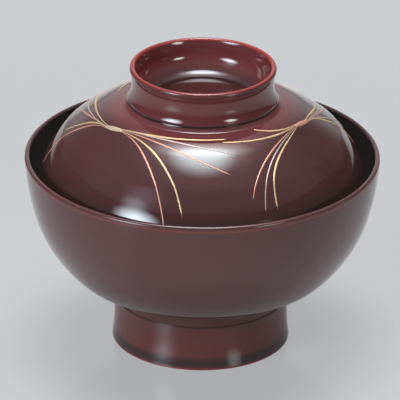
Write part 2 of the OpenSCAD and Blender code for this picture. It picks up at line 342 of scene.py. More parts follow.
class HandPolish(EffectGroup):
    """What hand polishing leaves on lacquer: cloudy depth, faint turning lines and soft unevenness."""

    name = "hand_polish"
    inputs = {"Cloud": ("NodeSocketFloat", 0.5), "Lines": ("NodeSocketFloat", 0.2),
              "Roughness": ("NodeSocketFloat", 0.06)}
    outputs = {"Depth": "NodeSocketFloat", "Roughness": "NodeSocketFloat", "Height": "NodeSocketFloat"}

    def wire(self, w: Wiring, given: object, result: object) -> None:
        """Makes the clouds, the lines round the axis and the height of the surface."""
        place = w.node("TexCoord").outputs["Object"]
        axes = w.node("SeparateXYZ")
        w.feed(axes.inputs[0], place)
        flat = w.node("CombineXYZ")
        w.feed(flat.inputs[0], axes.outputs[0])
        w.feed(flat.inputs[1], axes.outputs[1])
        length = w.node("VectorMath", operation="LENGTH")
        w.feed(length.inputs[0], flat.outputs[0])
        turned_place = w.node("CombineXYZ")
        w.feed(turned_place.inputs[0], w.math("MULTIPLY", length.outputs["Value"], 24.0))
        w.feed(turned_place.inputs[1], w.math("MULTIPLY", axes.outputs[2], 24.0))
        w.feed(turned_place.inputs[2], w.math("MULTIPLY", axes.outputs[0], 0.6))
        lines = w.noise(turned_place.outputs[0], 60.0, 3.0, 0.6)
        clouds = w.noise(place, 38.0, 4.0, 0.55)
        specks = w.fade(w.noise(place, 5200.0, 1.0), 0.72, 0.8)
        centred = w.math("SUBTRACT", clouds, 0.5)
        depth = w.math("MULTIPLY_ADD", centred, given["Cloud"], 0.5)
        depth = w.math("MULTIPLY_ADD", w.math("SUBTRACT", lines, 0.5), given["Lines"], depth, clamp=True)
        w.feed(result["Depth"], depth)
        smears = w.noise(place, 21.0, 5.0, 0.65)
        rough = w.math("MULTIPLY", given["Roughness"], w.fade(smears, 0.3, 0.75, 0.7, 1.5))
        w.feed(result["Roughness"], w.math("MULTIPLY_ADD", specks, 0.06, rough))
        soft = w.noise(place, 55.0, 1.0, 0.3)
        w.feed(result["Height"], w.math("MULTIPLY_ADD", lines, 0.06, soft))


class PowderGrain(EffectGroup):
    """Fine metal powder on a raised line: grain, rubbed spots and uneven cover."""

    name = "powder_grain"
    inputs = {"Grain": ("NodeSocketFloat", 9000.0), "Cover": ("NodeSocketFloat", 0.5)}
    outputs = {"Shade": "NodeSocketFloat", "Bare": "NodeSocketFloat", "Roughness": "NodeSocketFloat",
               "Height": "NodeSocketFloat"}

    def wire(self, w: Wiring, given: object, result: object) -> None:
        """Makes the grain and the spots where the lacquer below shows."""
        place = w.node("TexCoord").outputs["Object"]
        grain = w.node("TexVoronoi", feature="F1")
        w.feed(grain.inputs["Vector"], place)
        w.feed(grain.inputs["Scale"], given["Grain"])
        shade = w.node("SeparateColor")
        w.feed(shade.inputs[0], grain.outputs["Color"])
        drift = w.noise(place, 420.0, 3.0, 0.6)
        w.feed(result["Shade"], w.math("MULTIPLY_ADD", w.math("SUBTRACT", shade.outputs[0], 0.5), 0.5,
                                       drift, clamp=True))
        worn = w.noise(place, 900.0, 4.0, 0.7)
        w.feed(result["Bare"], w.fade(worn, given["Cover"], w.math("ADD", given["Cover"], 0.2)))
        w.feed(result["Roughness"], w.fade(drift, 0.3, 0.7, 0.34, 0.5))
        w.feed(result["Height"], w.math("MULTIPLY_ADD", shade.outputs[1], 0.5, drift))


LACQUER_TINT_AND_SHADE = LacquerTintAndShade()
HAND_POLISH = HandPolish()
POWDER_GRAIN = PowderGrain()


def new_material(name: str) -> tuple[bpy.types.Material, Wiring, bpy.types.Node]:
    """A material with its wiring and its main shader."""
    made = bpy.data.materials.new(name)
    made.use_nodes = True
    return made, Wiring(made.node_tree), made.node_tree.nodes["Principled BSDF"]


@dataclass(frozen=True)
class TintAndShadeRing:
    """A circle round the axis near which the lacquer shows another colour, sizes in mm: thin lacquer's own colour on
    some rings, and painted shade and painted reflection on others.
    """

    radius: float
    height: float
    reach: float
    share: float
    colour: Colour


@dataclass(frozen=True)
class Lacquer:
    """A polished coat of lacquer: one colour in its depth, another where it thins, and rings of painted shade and
    painted reflection.
    """

    name: str
    deep: Colour
    light: Colour
    roughness: float
    cloud: float = 0.5
    lines: float = 0.2
    edges: tuple[TintAndShadeRing, ...] = ()

    def material(self) -> bpy.types.Material:
        """Builds the material."""
        made, w, shader = new_material(self.name)
        polish = HAND_POLISH.place(w, Cloud=self.cloud, Lines=self.lines, Roughness=self.roughness)
        colour = w.blend(polish["Depth"], linear(self.deep), linear(self.light))
        # rings of thin lacquer's colour, and of painted shade and painted reflection, laid over the depth colour
        for edge in self.edges:
            mask = LACQUER_TINT_AND_SHADE.place(w, Radius=edge.radius * MM, Height=edge.height * MM, Reach=edge.reach * MM)["Mask"]
            colour = w.blend(w.math("MULTIPLY", mask, edge.share), colour, linear(edge.colour))
        w.feed(shader.inputs["Base Color"], colour)
        w.feed(shader.inputs["Roughness"], polish["Roughness"])
        shader.inputs["IOR"].default_value = 1.5
        bump = w.node("Bump")
        bump.inputs["Strength"].default_value = 0.15
        bump.inputs["Distance"].default_value = 0.00006
        w.feed(bump.inputs["Height"], polish["Height"])
        w.feed(shader.inputs["Normal"], bump.outputs[0])
        return made


@dataclass(frozen=True)
class Powder:
    """Metal powder laid on raised lacquer, burnished a little."""

    name: str
    bright: Colour
    dull: Colour
    under: Colour
    cover: float = 0.62

    def material(self) -> bpy.types.Material:
        """Builds the material."""
        made, w, shader = new_material(self.name)
        grain = POWDER_GRAIN.place(w, Cover=self.cover)
        metal = w.blend(grain["Shade"], linear(self.dull), linear(self.bright))
        w.feed(shader.inputs["Base Color"], w.blend(grain["Bare"], metal, linear(self.under)))
        w.feed(shader.inputs["Roughness"], grain["Roughness"])
        shader.inputs["Metallic"].default_value = 0.55
        bump = w.node("Bump")
        bump.inputs["Strength"].default_value = 0.4
        bump.inputs["Distance"].default_value = 0.00003
        w.feed(bump.inputs["Height"], grain["Height"])
        w.feed(shader.inputs["Normal"], bump.outputs[0])
        return made


class Metal(Enum):
    """The metals of the needles, by the name that the frame's nodes use."""

    GOLD = "gold"
    SILVER = "silver"
    RED_GOLD = "red_gold"
    PALE_GOLD = "pale_gold"


POWDERS: dict[Metal, Powder] = {
    Metal.GOLD: Powder("gold_powder", (0.87, 0.76, 0.59), (0.76, 0.61, 0.45), (0.45, 0.22, 0.17)),
    Metal.SILVER: Powder("silver_powder", (0.80, 0.73, 0.70), (0.62, 0.54, 0.51), (0.42, 0.24, 0.22)),
    Metal.RED_GOLD: Powder("red_gold_powder", (0.86, 0.65, 0.56), (0.71, 0.48, 0.40), (0.45, 0.18, 0.14)),
    Metal.PALE_GOLD: Powder("pale_gold_powder", (0.84, 0.76, 0.65), (0.74, 0.64, 0.53), (0.55, 0.38, 0.29)),
}


# ---- the bowl -------------------------------------------------------------------------------

@dataclass
class Bowl:
    """The turned bowl with its foot, sizes in mm and leans in degrees."""

    diameter: float = 121.0
    height: float = 67.4
    lip_thickness: float = 1.9
    lip_lean: float = 3.0
    outside: tuple[Sweep, ...] = (Sweep(16.4, 83.4), Sweep(47.5, 45.1), Sweep(74.0, 6.0))
    inside: tuple[Sweep, ...] = (Sweep(16.4, 72.0), Sweep(50.0, 38.0), Sweep(78.0, 18.0))
    floor_thickness: float = 8.4
    foot_diameter: float = 59.3
    flare_radius: float = 60.0
    flare_height: float = 9.5
    cove_radius: float = 8.0
    ledge: float = 0.25
    foot_thickness: float = 2.2
    foot_inside_lean: float = 3.0
    foot_fillet: float = 3.0
    foot_edge: float = 0.4
    coat: float = 0.3

    @property
    def lip_centre(self) -> Point:
        """Centre of the lip's rounding."""
        half = self.lip_thickness / 2
        return (self.diameter / 2 - half, self.height - half)

    def wall(self) -> list[Point]:
        """Outside of the bowl from the lip down to the underside."""
        start = polar(self.lip_centre, self.lip_thickness / 2, -self.lip_lean)
        return run(start, self.lip_lean, list(self.outside), -1)

    def foot(self) -> list[Point]:
        """Underside, hollow and foot, down to the table and up the inside of the foot."""
        under = self.wall()[-1]
        lean = self.outside[-1].lean
        foot_r = self.foot_diameter / 2
        low_r = foot_r - self.ledge
        top_r = low_r + self.cove_radius * (1 - math.cos(math.radians(lean)))
        top_z = under[1] - (under[0] - top_r) / math.tan(math.radians(lean))
        foot_top = top_z - self.cove_radius * math.sin(math.radians(lean))
        cove = arc((low_r + self.cove_radius, foot_top), self.cove_radius, 180 - lean, 180, 4.0)
        turn = math.degrees(math.asin((self.flare_height - self.foot_edge) / self.flare_radius))
        flare = arc((foot_r + self.flare_radius, self.flare_height), self.flare_radius, 180, 180 + turn, 1.0)
        out_r = foot_r + self.flare_radius * (1 - math.cos(math.radians(turn)))
        in_r = out_r - self.foot_thickness
        edge = self.foot_edge
        hollow_z = self.floor_height() - self.floor_thickness
        hollow_r = in_r - (hollow_z - edge) * math.tan(math.radians(self.foot_inside_lean))
        fillet = self.foot_fillet
        return joined(
            line(under, (top_r, top_z)), cove, line((foot_r, foot_top), (foot_r, self.flare_height)), flare,
            arc((out_r - edge, edge), edge, 0, -90, 15.0), arc((in_r + edge, edge), edge, -90, -180, 15.0),
            arc((hollow_r - fillet, hollow_z - fillet), fillet, -self.foot_inside_lean, 90, 8.0),
            line((hollow_r - fillet, hollow_z), (0.0, hollow_z), 2.0))

    def lining(self, grown: float = 0.0) -> list[Point]:
        """Inside of the bowl from the lip to the axis, moved into the wood by grown mm."""
        start = (self.diameter / 2 - self.lip_thickness, self.lip_centre[1])
        corner = run(start, self.lip_lean, list(self.inside), -1)[-1]
        last = Sweep(90.0, corner[0] / math.cos(math.radians(self.inside[-1].lean)))
        lean = math.radians(self.lip_lean)
        first = (start[0] + grown * math.cos(lean), start[1] - grown * math.sin(lean))
        sweeps = [Sweep(s.lean, s.radius + grown) for s in (*self.inside, last)]
        points = run(first, self.lip_lean, sweeps, -1)
        points[-1] = (0.0, points[-1][1])
        return points

    def floor_height(self) -> float:
        """Height of the inside floor in the middle."""
        return self.lining()[-1][1]

    def finish(self) -> Lacquer:
        """The red-brown lacquer, thin on the lip and on the foot's edge, with painted shade in the hollow above the
        foot and on the ledge, and a painted reflection of the floor's shadow low on the foot.
        """
        lip = self.lip_centre
        foot_r = self.foot_diameter / 2
        return Lacquer("bowl_lacquer", (0.28, 0.165, 0.165), (0.33, 0.19, 0.19), 0.05, edges=(
            TintAndShadeRing(lip[0] + 0.85, lip[1] - 0.7, 0.6, 0.3, (0.58, 0.22, 0.19)),
            TintAndShadeRing(lip[0] - 0.75, lip[1] + 0.2, 1.0, 0.95, (0.13, 0.13, 0.12)),
            TintAndShadeRing(foot_r, 6.5, 13.0, 0.16, (0.60, 0.24, 0.23)),
            # painted reflection of the shadow on the floor, low on the outside of the foot
            TintAndShadeRing(foot_r + 0.7, 2.4, 2.8, 0.8, (0.17, 0.145, 0.14)),
            # painted shade along the ledge where the hollow meets the foot
            TintAndShadeRing(foot_r - 0.1, 15.7, 0.8, 0.45, (0.17, 0.14, 0.135)),
            # painted shade in the hollow between the underside and the foot
            TintAndShadeRing(foot_r + 2.6, 22.0, 4.5, 0.75, (0.17, 0.14, 0.135)),
            TintAndShadeRing(foot_r + 0.75, 0.0, 0.9, 0.95, (0.62, 0.20, 0.18))))

    def build(self, black: bpy.types.Material) -> list[bpy.types.Object]:
        """Builds the body and the black coat inside it, dresses them and joins them to the frame."""
        lip = arc(self.lip_centre, self.lip_thickness / 2, 180, -self.lip_lean, 6.0)
        wood = self.lining(self.coat)
        body = turned("bowl_body", joined(wood[::-1], lip, self.wall(), self.foot()))
        coat = turned("bowl_black_coat", joined(self.lining()[::-1], wood))
        body.data.materials.append(self.finish().material())
        coat.data.materials.append(black)
        for piece, node, slot in ((body, "bowl", "brown_lacquered_wood"),
                                  (coat, "bowl_lining", "black_lacquer")):
            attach(piece, "bowl")
            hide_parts(node)
        return [body, coat]


# ---- the lid --------------------------------------------------------------------------------

@dataclass
class Lid:
    """The turned lid with its grip ring, sizes in mm and leans in degrees."""

    bowl: Bowl
    seat_depth: float = 11.9
    seat_gap: float = 0.25
    edge_thickness: float = 1.8
    edge_lean: float = 12.0
    side: tuple[Sweep, ...] = (Sweep(41.2, 41.6), Sweep(52.2, 7.4))
    crown_lean: float = 57.4
    root_lean: float = 77.0
    crease_lean: float = 25.0
    crown_share: float = 0.51
    root_radius: float = 3.2
    inside: tuple[Sweep, ...] = (Sweep(41.2, 39.6), Sweep(52.2, 5.4))
    ceiling_diameter: float = 40.0
    ceiling_lean: float = 86.0
    floor_thickness: float = 2.9
    ring_diameter: float = 49.9
    ring_height: float = 11.9
    ring_lip: float = 2.0
    ring_mouth: tuple[Sweep, ...] = (Sweep(6.0, -12.6), Sweep(90.0, 8.2))
    ring_mouth_lean: float = 22.0
    waist_height: float = 5.6
    waist_depth: float = 0.7
    skirt_radius: float = 10.0
    skirt_lean: float = 27.0
    base_edge: float = 0.3
    base_edge_lean: float = 60.0
    crease_reach: float = 0.35
    coat: float = 0.3
    shell: list[Sweep] = field(init=False)
    edge_centre: Point = field(init=False)

    def __post_init__(self) -> None:
        """Finds the seat on the bowl and the curves of the lid's outside."""
        bowl = self.bowl
        inside = (bowl.diameter / 2 - bowl.lip_thickness, bowl.lip_centre[1])
        seat_z = bowl.height - self.seat_depth
        radius = bowl.inside[0].radius
        lip = math.radians(bowl.lip_lean)
        lean = math.asin(math.sin(lip) + (inside[1] - seat_z) / radius)
        seat_r = inside[0] - radius * (math.cos(lip) - math.cos(lean))
        reach = self.edge_thickness / 2 + self.seat_gap
        self.edge_centre = (seat_r - reach * math.cos(lean), seat_z + reach * math.sin(lean))
        shoulder = run(self.foot_of_side, self.edge_lean, list(self.side), 1)[-1][0]
        steep, crown, root, crease = (math.cos(math.radians(lean)) for lean in (
            self.side[-1].lean, self.crown_lean, self.root_lean, self.crease_lean))
        root_r = self.ring_diameter / 2 + self.crease_reach + self.root_radius * (crease - root)
        crown_r = root_r + (shoulder - root_r) * self.crown_share
        self.shell = [*self.side, Sweep(self.crown_lean, (shoulder - crown_r) / (steep - crown)),
                      Sweep(self.root_lean, (crown_r - root_r) / (crown - root)),
                      Sweep(self.crease_lean, -self.root_radius)]

    @property
    def foot_of_side(self) -> Point:
        """Where the rounded edge passes into the side."""
        return polar(self.edge_centre, self.edge_thickness / 2, self.edge_lean)

    def outside(self) -> list[Point]:
        """Outside of the lid from its edge up to the ring."""
        return run(self.foot_of_side, self.edge_lean, self.shell, 1)

    def surface(self, r: float) -> tuple[float, float]:
        """Height and lean of the outside at a distance from the axis.

        Args:
            r: Distance from the axis in mm.

        Returns:
            The height in mm and the lean in degrees.
        """
        start, lean = self.foot_of_side, self.edge_lean
        for sweep in self.shell:
            end = sweep_end(start, lean, sweep, 1)
            if r >= end[0] or sweep is self.shell[-1]:
                cosine = math.cos(math.radians(lean)) - (start[0] - r) / sweep.radius
                here = math.degrees(math.acos(max(-1.0, min(1.0, cosine))))
                return sweep_end(start, lean, Sweep(here, sweep.radius), 1)[1], here
            start, lean = end, sweep.lean
        raise ValueError("the lid has no curves")

    def lining(self, grown: float = 0.0) -> list[Point]:
        """Inside of the lid from its edge to the axis, moved into the wood by grown mm."""
        start = polar(self.edge_centre, self.edge_thickness / 2, 180 + self.edge_lean)
        ceiling_r = self.ceiling_diameter / 2
        shoulder = run(start, self.edge_lean, list(self.inside), 1)[-1]
        last = self.inside[-1].lean
        share = math.cos(math.radians(last)) - math.cos(math.radians(self.ceiling_lean))
        dome = Sweep(self.ceiling_lean, (shoulder[0] - ceiling_r) / share)
        flat = Sweep(90.0, ceiling_r / math.cos(math.radians(self.ceiling_lean)))
        first = polar(start, grown, self.edge_lean)
        sweeps = [Sweep(s.lean, s.radius + grown) for s in (*self.inside, dome, flat)]
        points = run(first, self.edge_lean, sweeps, 1)
        points[-1] = (0.0, points[-1][1])
        return points

    def ring(self) -> list[Point]:
        """Base edge, skirt, neck, lip and floor of the grip ring, from its base to the axis."""
        crease = self.outside()[-1]
        half = self.ring_lip / 2
        waist = (self.ring_diameter / 2 - self.waist_depth, crease[1] + self.waist_height)
        skirt = (waist[0] + self.skirt_radius, waist[1])
        base = polar(skirt, self.skirt_radius + self.base_edge, 180 + self.skirt_lean)
        lip = (self.ring_diameter / 2 - half, crease[1] + self.ring_height - half)
        rise = lip[1] - waist[1]
        lean = 2 * math.degrees(math.atan2(self.waist_depth, rise))
        neck = rise / math.sin(math.radians(lean)) - half
        lip_arc = arc(lip, half, -lean, 180 - self.ring_mouth_lean)
        mouth = run(lip_arc[-1], self.ring_mouth_lean, list(self.ring_mouth), -1, 2.0)
        return joined(arc(base, self.base_edge, -self.base_edge_lean, self.skirt_lean, 8.0),
                      arc(skirt, self.skirt_radius, 180 + self.skirt_lean, 180, 1.0),
                      arc((waist[0] + neck, waist[1]), neck, 180, 180 - lean, 1.0),
                      lip_arc, mouth, line(mouth[-1], (0.0, mouth[-1][1]), 2.0))

    def finish(self) -> Lacquer:
        """The red-brown lacquer, thin on the ring's lip and redder inside the ring, with a painted reflection of the
        ring on the dome round its base, and painted shade in the crease at the ring's base, on the ring's floor and low
        on the lid.
        """
        half = self.ring_lip / 2
        crease = self.outside()[-1]
        lip = (self.ring_diameter / 2 - half, crease[1] + self.ring_height - half)
        return Lacquer("lid_lacquer", (0.24, 0.125, 0.13), (0.285, 0.15, 0.155), 0.045, edges=(
            # painted reflection of the ring's red wall on the dome round the ring's base
            TintAndShadeRing(26.5, 86.3, 9.5, 0.2, (0.66, 0.28, 0.30)),
            # redder inside the ring
            TintAndShadeRing(lip[0] - 1.6, lip[1] - 3.6, 7.0, 0.25, (0.66, 0.29, 0.28)),
            # painted shade low on the lid, near its edge
            TintAndShadeRing(58.0, 65.5, 9.5, 0.62, (0.165, 0.145, 0.14)),
            # painted shade in the crease at the ring's base
            TintAndShadeRing(crease[0], crease[1], 0.9, 0.85, (0.12, 0.085, 0.085)),
            # painted shade on the floor inside the ring
            TintAndShadeRing(15.0, 88.6, 5.0, 0.6, (0.12, 0.08, 0.08)),
            TintAndShadeRing(lip[0] - 0.15, lip[1] + 0.8, 1.3, 0.85, (0.60, 0.20, 0.17))))

    def build(self, black: bpy.types.Material) -> list[bpy.types.Object]:
        """Builds the body and the black coat inside it, dresses them and joins them to the frame."""
        edge = arc(self.edge_centre, self.edge_thickness / 2, self.edge_lean - 180, self.edge_lean)
        wood = self.lining(self.coat)
        body = turned("lid_body", joined(wood[::-1], edge, self.outside(), self.ring()))
        coat = turned("lid_black_coat", joined(self.lining()[::-1], wood))
        body.data.materials.append(self.finish().material())
        coat.data.materials.append(black)
        for piece, node, slot in ((body, "lid", "brown_lacquered_wood"),
                                  (coat, "lid_lining", "black_lacquer")):
            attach(piece, "lid")
            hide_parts(node)
        return [body, coat]


# ---- the pine needles -----------------------------------------------------------------------

@dataclass(frozen=True)
class Needle:
    """One needle: its metal, and the turn and reach of its bend and of its tip, counted from the tie."""

    metal: Metal
    bend_turn: float
    bend_reach: float
    tip_turn: float
    tip_reach: float


def needles(*rows: tuple[str, float, float, float, float]) -> tuple[Needle, ...]:
    """Needles from rows of a metal's name and four places."""
    return tuple(Needle(Metal(row[0]), *row[1:]) for row in rows)


LEFT_FRONT = needles(("gold", 28, 0.125, 76.5, 0.145), ("silver", 41, 0.085, 78, 0.36),
                     ("red_gold", 37.5, 0.13, 73, 0.555), ("gold", 41, 0.2, 53, 0.865),
                     ("red_gold", 33, 0.245, 47, 0.93))
LEFT_FAR = needles(("gold", 50.5, 0.335, 61, 0.545), ("silver", 50, 0.435, 61.5, 0.645),
                   ("red_gold", 40, 0.395, 57, 0.76), ("gold", 22, 0.33, 30, 0.675),
                   ("red_gold", 24, 0.365, 28, 0.93))
RIGHT_FRONT = needles(("gold", 23, 0.235, 35, 0.08), ("gold", 19, 0.27, 61, 0.185),
                      ("red_gold", 43, 0.285, 53, 0.78), ("silver", 43, 0.32, 49, 0.86),
                      ("gold", 43, 0.39, 44, 0.855))
RIGHT_FAR = needles(("gold", 16, 0.315, 40, 0.515), ("silver", 28, 0.41, 57, 0.74),
                    ("red_gold", 31, 0.435, 50, 0.81), ("silver", 19, 0.35, 36, 0.82),
                    ("gold", 21, 0.365, 28, 0.87))


@dataclass
class RaisedLine:
    """A rounded line that lies on the lid, sizes in mm."""

    lid: Lid
    places: list[tuple[float, float]]
    halves: list[float]
    rise: float
    sink: float = 0.12
    sides: int = 10

    def append_to(self, verts: list[Vector], faces: list[tuple[int, ...]]) -> None:
        """Adds the line's mesh to lists of vertices and faces."""
        points, ups = [], []
        for turn, r in self.places:
            z, lean = self.lid.surface(r)
            s, c, b = math.sin(math.radians(turn)), math.cos(math.radians(turn)), math.radians(lean)
            points.append(Vector((r * s, -r * c, z)))
            ups.append(Vector((math.cos(b) * s, -math.cos(b) * c, math.sin(b))))
        first = len(verts)
        last = len(points) - 1
        ring = self.sides + 3
        for i, (point, up, half) in enumerate(zip(points, ups, self.halves)):
            along = points[min(i + 1, last)] - points[max(i - 1, 0)]
            side = up.cross(along).normalized()
            rise = self.rise * min(1.0, (half / self.halves[last // 2]) ** 0.5 + 0.15)
            for k in range(self.sides + 1):
                turn = math.pi * k / self.sides
                verts.append((point + side * half * math.cos(turn) + up * rise * math.sin(turn) ** 0.8) * MM)
            verts.append((point - side * half - up * self.sink) * MM)
            verts.append((point + side * half - up * self.sink) * MM)
        for i in range(last):
            for k in range(ring):
                a, b = first + i * ring + k, first + i * ring + (k + 1) % ring
                faces.append((a, b, b + ring, a + ring))
        faces.append(tuple(first + k for k in reversed(range(ring))))
        faces.append(tuple(first + last * ring + k for k in range(ring)))


@dataclass
class Spray:
    """A spray of pine needles tied in its middle, sizes in mm, turns in degrees from the front."""

    name: str
    lid: Lid
    turn: float
    front_side: int
    tie_reaches: tuple[float, float]
    front: tuple[Needle, ...]
    far: tuple[Needle, ...]
    tie_metal: Metal
    tie_slot: str
    needle_width: float = 0.8
    needle_rise: float = 0.14
    needle_pitch: float = 0.24
    start_share: float = 0.28
    tip_share: float = 0.55
    tuck_share: float = 0.9
    tie_width: float = 1.9
    tie_rise: float = 0.3
    tie_turn: float = 6.2
    tie_end_share: float = 0.6
    steps: int = 44
    shares: dict[Metal, float] = field(default_factory=lambda: {
        Metal.GOLD: 1.0, Metal.SILVER: 0.72, Metal.RED_GOLD: 0.85})

    def reach_r(self, reach: float) -> float:
        """Distance from the axis for a reach, a share of the way from the ring to the lid's edge."""
        crease = self.lid.ring_diameter / 2 + self.lid.crease_reach
        return crease + (self.lid.foot_of_side[0] - crease) * reach

    def share_at(self, t: float) -> float:
        """Share of the full width along a needle: narrow at the tie, blunt and rounded at the tip."""
        if t < 0.5:
            share = self.start_share + (1 - self.start_share) * 2 * t
        else:
            share = 1 + (self.tip_share - 1) * (2 * t - 1)
        end = (1 - t) / 0.03
        return share * (math.sqrt(max(0.0, 1 - (1 - end) ** 2)) * 0.9 + 0.1 if end < 1 else 1.0)

    def line_of(self, needle: Needle, way: int, reach: float, lane: float) -> RaisedLine:
        """The raised line of one needle.

        Args:
            needle: The needle.
            way: 1 or -1, the side of the tie that it grows from.
            reach: Reach of the tie's end on that side.
            lane: Distance of its start from the tie's middle line in mm.

        Returns:
            The line.
        """
        start = (self.turn + way * self.tie_turn * self.tuck_share, self.reach_r(reach) + lane)
        knee = (self.turn + way * needle.bend_turn, self.reach_r(needle.bend_reach))
        tip = (self.turn + way * needle.tip_turn, self.reach_r(needle.tip_reach))
        places, halves = [], []
        for i in range(self.steps + 1):
            t = i / self.steps
            a = [start[j] + (knee[j] - start[j]) * t for j in (0, 1)]
            b = [knee[j] + (tip[j] - knee[j]) * t for j in (0, 1)]
            places.append((a[0] + (b[0] - a[0]) * t, a[1] + (b[1] - a[1]) * t))
            halves.append(self.needle_width / 2 * self.shares[needle.metal] * self.share_at(t))
        if way < 0:
            places.reverse()
            halves.reverse()
        return RaisedLine(self.lid, places, halves, self.needle_rise)

    def mesh_piece(self, name: str, lines: list[RaisedLine]) -> bpy.types.Object:
        """One smooth object from raised lines."""
        verts: list[Vector] = []
        faces: list[tuple[int, ...]] = []
        for one in lines:
            one.append_to(verts, faces)
        mesh = bpy.data.meshes.new(name)
        mesh.from_pydata(verts, [], faces)
        mesh.polygons.foreach_set("use_smooth", [True] * len(mesh.polygons))
        mesh.update()
        piece = bpy.data.objects.new(name, mesh)
        bpy.context.scene.collection.objects.link(piece)
        return piece

    def tie_line(self) -> RaisedLine:
        """The band round the spray's middle, full in the middle and narrower at its ends."""
        reaches = self.tie_reaches if self.front_side < 0 else self.tie_reaches[::-1]
        places, halves = [], []
        for i in range(self.steps + 1):
            t = i / self.steps
            places.append((self.turn + self.tie_turn * (2 * t - 1),
                           self.reach_r(reaches[0] + (reaches[1] - reaches[0]) * t)))
            full = self.tie_end_share + (1 - self.tie_end_share) * math.sin(math.pi * t)
            halves.append(self.tie_width / 2 * full)
        return RaisedLine(self.lid, places, halves, self.tie_rise, sides=14)

    def build(self, powders: dict[Metal, bpy.types.Material]) -> list[bpy.types.Object]:
        """Builds the needles of each metal and the tie, dresses them and joins them to the frame."""
        made = []
        for metal in (Metal.GOLD, Metal.SILVER, Metal.RED_GOLD):
            lines = []
            for rows, way, reach in ((self.front, self.front_side, self.tie_reaches[0]),
                                     (self.far, -self.front_side, self.tie_reaches[1])):
                for i, needle in enumerate(rows):
                    if needle.metal is metal:
                        lane = (i - (len(rows) - 1) / 2) * self.needle_pitch
                        lines.append(self.line_of(needle, way, reach, lane))
            piece = self.mesh_piece(f"{self.name}_spray_{metal.value}", lines)
            piece.data.materials.append(powders[metal])
            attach(piece, "lid")
            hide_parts(f"{self.name}_{metal.value}_needles")
            made.append(piece)
        tie = self.mesh_piece(f"{self.name}_spray_tie", [self.tie_line()])
        tie.data.materials.append(powders[self.tie_metal])
        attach(tie, "lid")
        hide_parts(f"{self.name}_tie")
        made.append(tie)
        return made


# ---- the studio -----------------------------------------------------------------------------

@dataclass(frozen=True)
class Glow:
    """A soft oval light in the sky, in degrees.

    Azimuth 0 is the camera's side, positive to the right. The light is full inside
    core, a share of its half width and half height, and fades to nothing at its rim.
    It throws thrown times the light on matt surfaces that its mirror image shows.
    """

    azimuth: float
    elevation: float
    half_width: float
    half_height: float
    core: float
    strength: float
    colour: Colour = (1.0, 1.0, 1.0)
    thrown: float = 1.0

    @property
    def axes(self) -> tuple[Vector, Vector, Vector]:
        """Unit vectors towards the light, across it to the right and up along it."""
        a, e = math.radians(self.azimuth), math.radians(self.elevation)
        towards = Vector((math.cos(e) * math.sin(a), -math.cos(e) * math.cos(a), math.sin(e)))
        across = Vector((math.cos(a), math.sin(a), 0.0))
        return towards, across, towards.cross(across)


